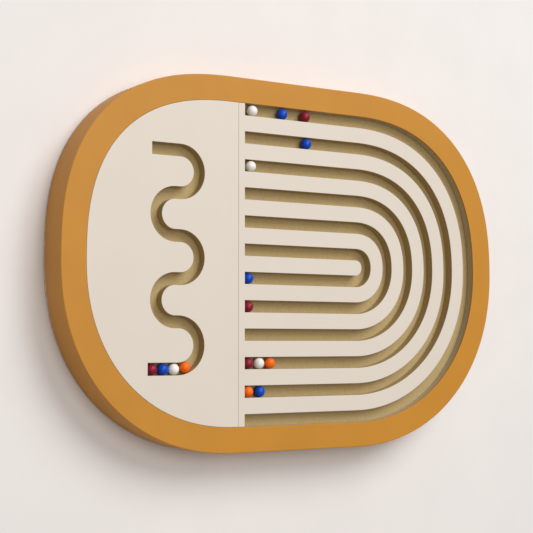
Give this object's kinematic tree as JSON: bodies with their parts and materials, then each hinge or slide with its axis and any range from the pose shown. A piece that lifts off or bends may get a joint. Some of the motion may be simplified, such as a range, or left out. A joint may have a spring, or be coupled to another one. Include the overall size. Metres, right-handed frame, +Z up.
{
  "type": "marble run",
  "caption": "Wall-hung obround marble run: an amber ring, a cream board with one winding groove and a cream board with nested U-shaped grooves, with loose marbles.",
  "frame": {"origin": "centre of the wall rail's back face, on the wall, behind the panel's centre", "axes": "+X to the right along the panel, +Y into the wall, +Z up"},
  "size_m": [0.7408, 0.06, 0.53],
  "materials": {
    "amber_paint": "amber satin paint on wood",
    "cream_face": "matte cream laminate",
    "track_core": "matte tan stained fibreboard",
    "liner": "matte grey tan strip",
    "plywood": "bare birch plywood",
    "screw_steel": "zinc plated",
    "bumper_felt": "dark rubber",
    "marble_white": "satin white",
    "marble_blue": "satin blue",
    "marble_maroon": "satin maroon",
    "marble_orange": "satin orange"
  },
  "bodies": {
    "wall_rail": {"wall_rail": "plywood"},
    "panel": {"frame_ring": "amber_paint", "left_face": "cream_face", "right_face": "cream_face", "left_track_board": "track_core", "right_track_board": "track_core", "outer_track_liner": "liner", "backing_board": "track_core", "panel_cleat": "plywood", "cleat_spacer": "plywood", "backing_screw_1": "screw_steel", "backing_screw_2": "screw_steel", "backing_screw_3": "screw_steel", "backing_screw_4": "screw_steel", "backing_screw_5": "screw_steel", "backing_screw_6": "screw_steel", "backing_screw_7": "screw_steel", "backing_screw_8": "screw_steel", "backing_screw_9": "screw_steel", "backing_screw_10": "screw_steel", "board_screw_1": "screw_steel", "board_screw_2": "screw_steel", "board_screw_3": "screw_steel", "board_screw_4": "screw_steel", "board_screw_5": "screw_steel", "board_screw_6": "screw_steel", "board_screw_7": "screw_steel", "cleat_screw_1": "screw_steel", "cleat_screw_2": "screw_steel", "cleat_screw_3": "screw_steel", "cleat_screw_4": "screw_steel", "bumper_1": "bumper_felt", "bumper_2": "bumper_felt", "bumper_3": "bumper_felt", "bumper_4": "bumper_felt"},
    "marble_row1_white": {"marble_row1_white": "marble_white"},
    "marble_row1_blue": {"marble_row1_blue": "marble_blue"},
    "marble_row1_maroon": {"marble_row1_maroon": "marble_maroon"},
    "marble_row2_blue": {"marble_row2_blue": "marble_blue"},
    "marble_row3_white": {"marble_row3_white": "marble_white"},
    "marble_row7_blue": {"marble_row7_blue": "marble_blue"},
    "marble_row8_maroon": {"marble_row8_maroon": "marble_maroon"},
    "marble_row10_maroon": {"marble_row10_maroon": "marble_maroon"},
    "marble_row10_white": {"marble_row10_white": "marble_white"},
    "marble_row10_orange": {"marble_row10_orange": "marble_orange"},
    "marble_row11_orange": {"marble_row11_orange": "marble_orange"},
    "marble_row11_blue": {"marble_row11_blue": "marble_blue"},
    "marble_queue_maroon": {"marble_queue_maroon": "marble_maroon"},
    "marble_queue_blue": {"marble_queue_blue": "marble_blue"},
    "marble_queue_white": {"marble_queue_white": "marble_white"},
    "marble_bend_orange": {"marble_bend_orange": "marble_orange"}
  },
  "joints": [
    {"name": "panel_lift_off", "type": "slide", "parent": "wall_rail", "child": "panel", "axis": [0, 0, 1], "range_m": [0, 0.018]},
    {"name": "marble_row1_white_roll", "type": "slide", "parent": "panel", "child": "marble_row1_white", "axis": [1, 0, 0], "range_m": [-0.007, 0.02867]},
    {"name": "marble_row1_blue_roll", "type": "slide", "parent": "marble_row1_white", "child": "marble_row1_blue", "axis": [1, 0, 0], "range_m": [-0.0351, 0.02867]},
    {"name": "marble_row1_maroon_roll", "type": "slide", "parent": "marble_row1_blue", "child": "marble_row1_maroon", "axis": [1, 0, 0], "range_m": [-0.0238, 0.02867]},
    {"name": "marble_row2_blue_roll", "type": "slide", "parent": "panel", "child": "marble_row2_blue", "axis": [1, 0, 0], "range_m": [-0.1002, 0.0847]},
    {"name": "marble_row3_white_roll", "type": "slide", "parent": "panel", "child": "marble_row3_white", "axis": [1, 0, 0], "range_m": [-0.0045, 0.1804]},
    {"name": "marble_row7_blue_roll", "type": "slide", "parent": "panel", "child": "marble_row7_blue", "axis": [1, 0, 0], "range_m": [0, 0.1848]},
    {"name": "marble_row8_maroon_roll", "type": "slide", "parent": "panel", "child": "marble_row8_maroon", "axis": [1, 0, 0], "range_m": [0, 0.1848]},
    {"name": "marble_row10_maroon_roll", "type": "slide", "parent": "panel", "child": "marble_row10_maroon", "axis": [1, 0, 0], "range_m": [0, 0.04923]},
    {"name": "marble_row10_white_roll", "type": "slide", "parent": "marble_row10_maroon", "child": "marble_row10_white", "axis": [1, 0, 0], "range_m": [-0.0021, 0.04923]},
    {"name": "marble_row10_orange_roll", "type": "slide", "parent": "marble_row10_white", "child": "marble_row10_orange", "axis": [1, 0, 0], "range_m": [-0.002, 0.04923]},
    {"name": "marble_row11_orange_roll", "type": "slide", "parent": "panel", "child": "marble_row11_orange", "axis": [1, 0, 0], "range_m": [0, 0.0825]},
    {"name": "marble_row11_blue_roll", "type": "slide", "parent": "marble_row11_orange", "child": "marble_row11_blue", "axis": [1, 0, 0], "range_m": [-0.0033, 0.0825]},
    {"name": "marble_queue_maroon_roll", "type": "slide", "parent": "panel", "child": "marble_queue_maroon", "axis": [1, 0, 0], "range_m": [-0.0003, 0.0003]},
    {"name": "marble_queue_blue_roll", "type": "slide", "parent": "panel", "child": "marble_queue_blue", "axis": [1, 0, 0], "range_m": [-0.0004, 0.0003]},
    {"name": "marble_queue_white_roll", "type": "slide", "parent": "panel", "child": "marble_queue_white", "axis": [1, 0, 0], "range_m": [-0.0003, 0.0005]},
    {"name": "marble_bend_orange_roll", "type": "hinge", "parent": "panel", "child": "marble_bend_orange", "pos_m": [-0.1972, -0.052, -0.115], "axis": [0, -1, 0], "range_deg": [0, 150]}
  ]
}
